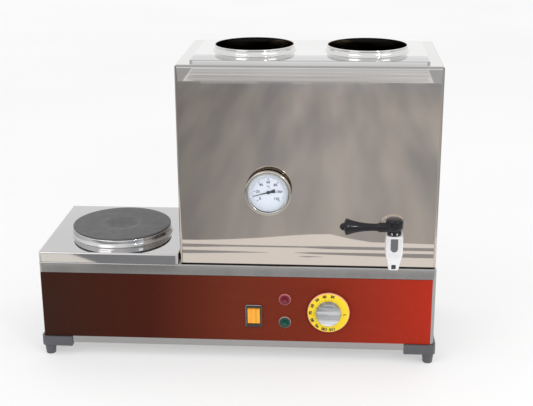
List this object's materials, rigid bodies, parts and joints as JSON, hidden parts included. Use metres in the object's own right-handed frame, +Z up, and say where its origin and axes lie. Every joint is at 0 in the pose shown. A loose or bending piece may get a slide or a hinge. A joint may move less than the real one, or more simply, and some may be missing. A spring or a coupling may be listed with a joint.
{
  "type": "electric tea urn",
  "caption": "Electric tea urn: low control base with a round hot plate, double-walled water tank with teapot collars on top, dial thermometer and lever tap.",
  "frame": {"origin": "centre of the bounding box on the table, under the feet", "axes": "+X along the long side towards the tank and tap, +Y from the front to the back, +Z up"},
  "size_m": [0.708, 0.3452, 0.5479],
  "materials": {
    "cabinet_steel": "polished sheet",
    "tank_steel": "mirror polished",
    "collar_steel": "bright drawn",
    "rim_steel": "bright",
    "gauge_steel": "polished",
    "vessel_steel": "plain rolled",
    "fastener_steel": "plain",
    "heater_steel": "dull",
    "red_panel": "glossy",
    "foot_plastic": "satin",
    "black_plastic": "satin",
    "handle_plastic": "glossy",
    "gasket_rubber": "matt",
    "plate_iron": "matt coated",
    "ceramic": "unglazed",
    "mineral_wool": "fibrous",
    "brass": "turned",
    "clear_glass": "clear",
    "dial_white": "printed",
    "needle_black": "matt",
    "tap_chrome": "bright",
    "knob_chrome": "bright",
    "rocker_amber": "translucent",
    "lamp_bezel_clear": "clear",
    "lens_red": "glossy",
    "lens_green": "glossy",
    "disc_yellow": "satin"
  },
  "bodies": {
    "urn": {"base_cabinet": "cabinet_steel", "base_bottom_plate": "vessel_steel", "base_service_cover": "cabinet_steel", "service_cover_screws": "fastener_steel", "control_panel": "red_panel", "foot_front_left": "foot_plastic", "foot_front_right": "foot_plastic", "foot_rear_left": "foot_plastic", "foot_rear_right": "foot_plastic", "foot_screws": "fastener_steel", "cable_gland": "black_plastic", "gland_lock_nut": "black_plastic", "mains_terminal_block": "ceramic", "hotplate_tray": "cabinet_steel", "hotplate_rim": "rim_steel", "hotplate_iron": "plate_iron", "hotplate_bridge": "fastener_steel", "hotplate_stud": "fastener_steel", "hotplate_terminals": "ceramic", "tank_gasket": "gasket_rubber", "tank_floor": "vessel_steel", "tank_bolts": "fastener_steel", "tank_casing": "tank_steel", "tank_back_panel": "tank_steel", "back_panel_screws": "fastener_steel", "tank_cover": "tank_steel", "teapot_collar_left": "collar_steel", "teapot_collar_right": "collar_steel", "water_vessel": "vessel_steel", "insulation": "mineral_wool", "heating_element": "heater_steel", "element_nuts": "brass", "bulb_pocket": "brass", "thermostat_capillary": "brass", "thermometer_case": "gauge_steel", "thermometer_bezel": "gauge_steel", "thermometer_glass": "clear_glass", "thermometer_dial": "dial_white", "thermometer_stem": "brass", "thermometer_nut": "brass", "tap_body": "tap_chrome", "tap_rosette": "tap_chrome", "tap_seal": "gasket_rubber", "tap_lock_nut": "brass", "tap_bonnet": "handle_plastic", "switch_housing": "black_plastic", "red_lamp_bezel": "lamp_bezel_clear", "red_lamp_lens": "lens_red", "green_lamp_bezel": "lamp_bezel_clear", "green_lamp_lens": "lens_green", "thermostat_body": "fastener_steel", "thermostat_screws": "fastener_steel"},
    "lever": {"tap_handle": "handle_plastic", "tap_plug": "brass"},
    "rocker": {"switch_rocker": "rocker_amber"},
    "knob": {"thermostat_knob": "knob_chrome", "thermostat_disc": "disc_yellow", "thermostat_shaft": "fastener_steel"},
    "needle": {"thermometer_needle": "needle_black"}
  },
  "joints": [
    {"name": "tap_lever", "type": "hinge", "parent": "urn", "child": "lever", "pos_m": [0.272, -0.15693, 0.27], "axis": [0, 0, 1], "range_deg": [0, 90]},
    {"name": "switch", "type": "hinge", "parent": "urn", "child": "rocker", "pos_m": [0.032, -0.10892, 0.086], "axis": [-1, 0, 0], "range_deg": [0, 16]},
    {"name": "thermostat", "type": "hinge", "parent": "urn", "child": "knob", "pos_m": [0.164, -0.12, 0.0972], "axis": [0, 1, 0], "range_deg": [0, 288]},
    {"name": "gauge_needle", "type": "hinge", "parent": "urn", "child": "needle", "pos_m": [0.059, -0.12, 0.3175], "axis": [0, 1, 0], "range_deg": [-24, 234]}
  ]
}
